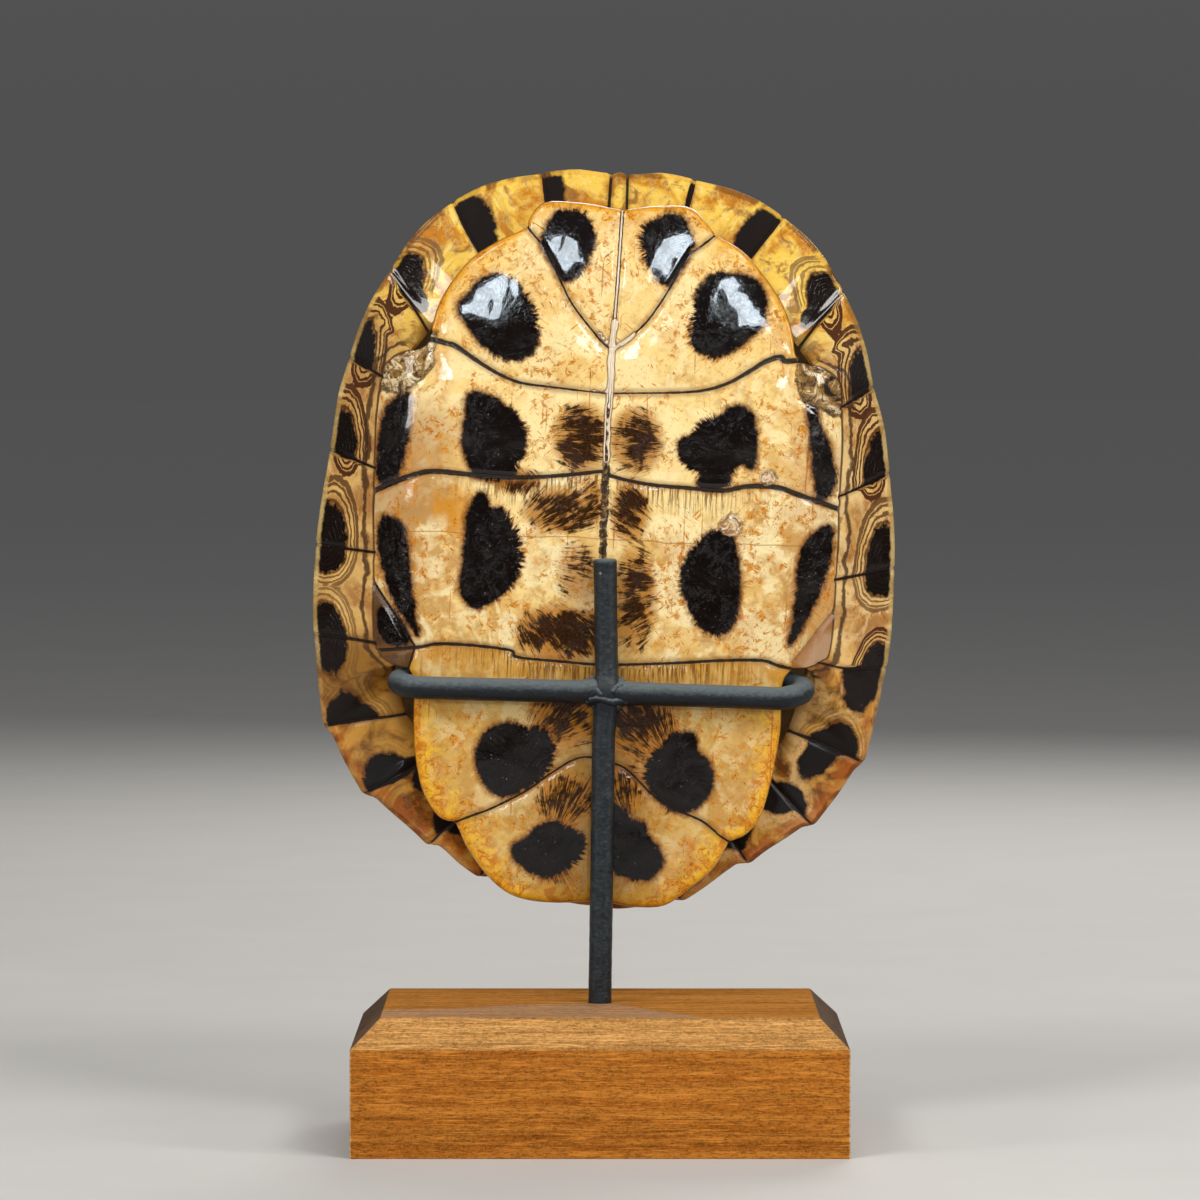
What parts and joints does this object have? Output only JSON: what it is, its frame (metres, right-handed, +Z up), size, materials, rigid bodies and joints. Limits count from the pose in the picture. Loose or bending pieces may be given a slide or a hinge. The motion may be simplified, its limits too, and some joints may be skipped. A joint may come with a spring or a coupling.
{
  "type": "slider turtle shell",
  "caption": "Varnished slider turtle shell, carapace and plastron in one piece, stood upright by a painted steel rod with hooked arms in a chamfered wood block.",
  "frame": {"origin": "middle of the wood block's underside", "axes": "+Z up, towards the shell's head end; +Y towards the carapace; -Y is the side that the plastron and the rod face"},
  "size_m": [0.1657, 0.1313, 0.2722],
  "materials": {
    "shell": "horn scutes over bone, under a thick gloss varnish; cream and amber with near-black blotches",
    "painted_steel": "charcoal satin paint, brushed on",
    "wood": "honey brown satin, fine straight grain"
  },
  "bodies": {
    "root": {"turtle_shell": "shell", "upright_rod": "painted_steel", "left_hook_arm": "painted_steel", "right_hook_arm": "painted_steel", "wood_base": "wood"}
  },
  "joints": []
}
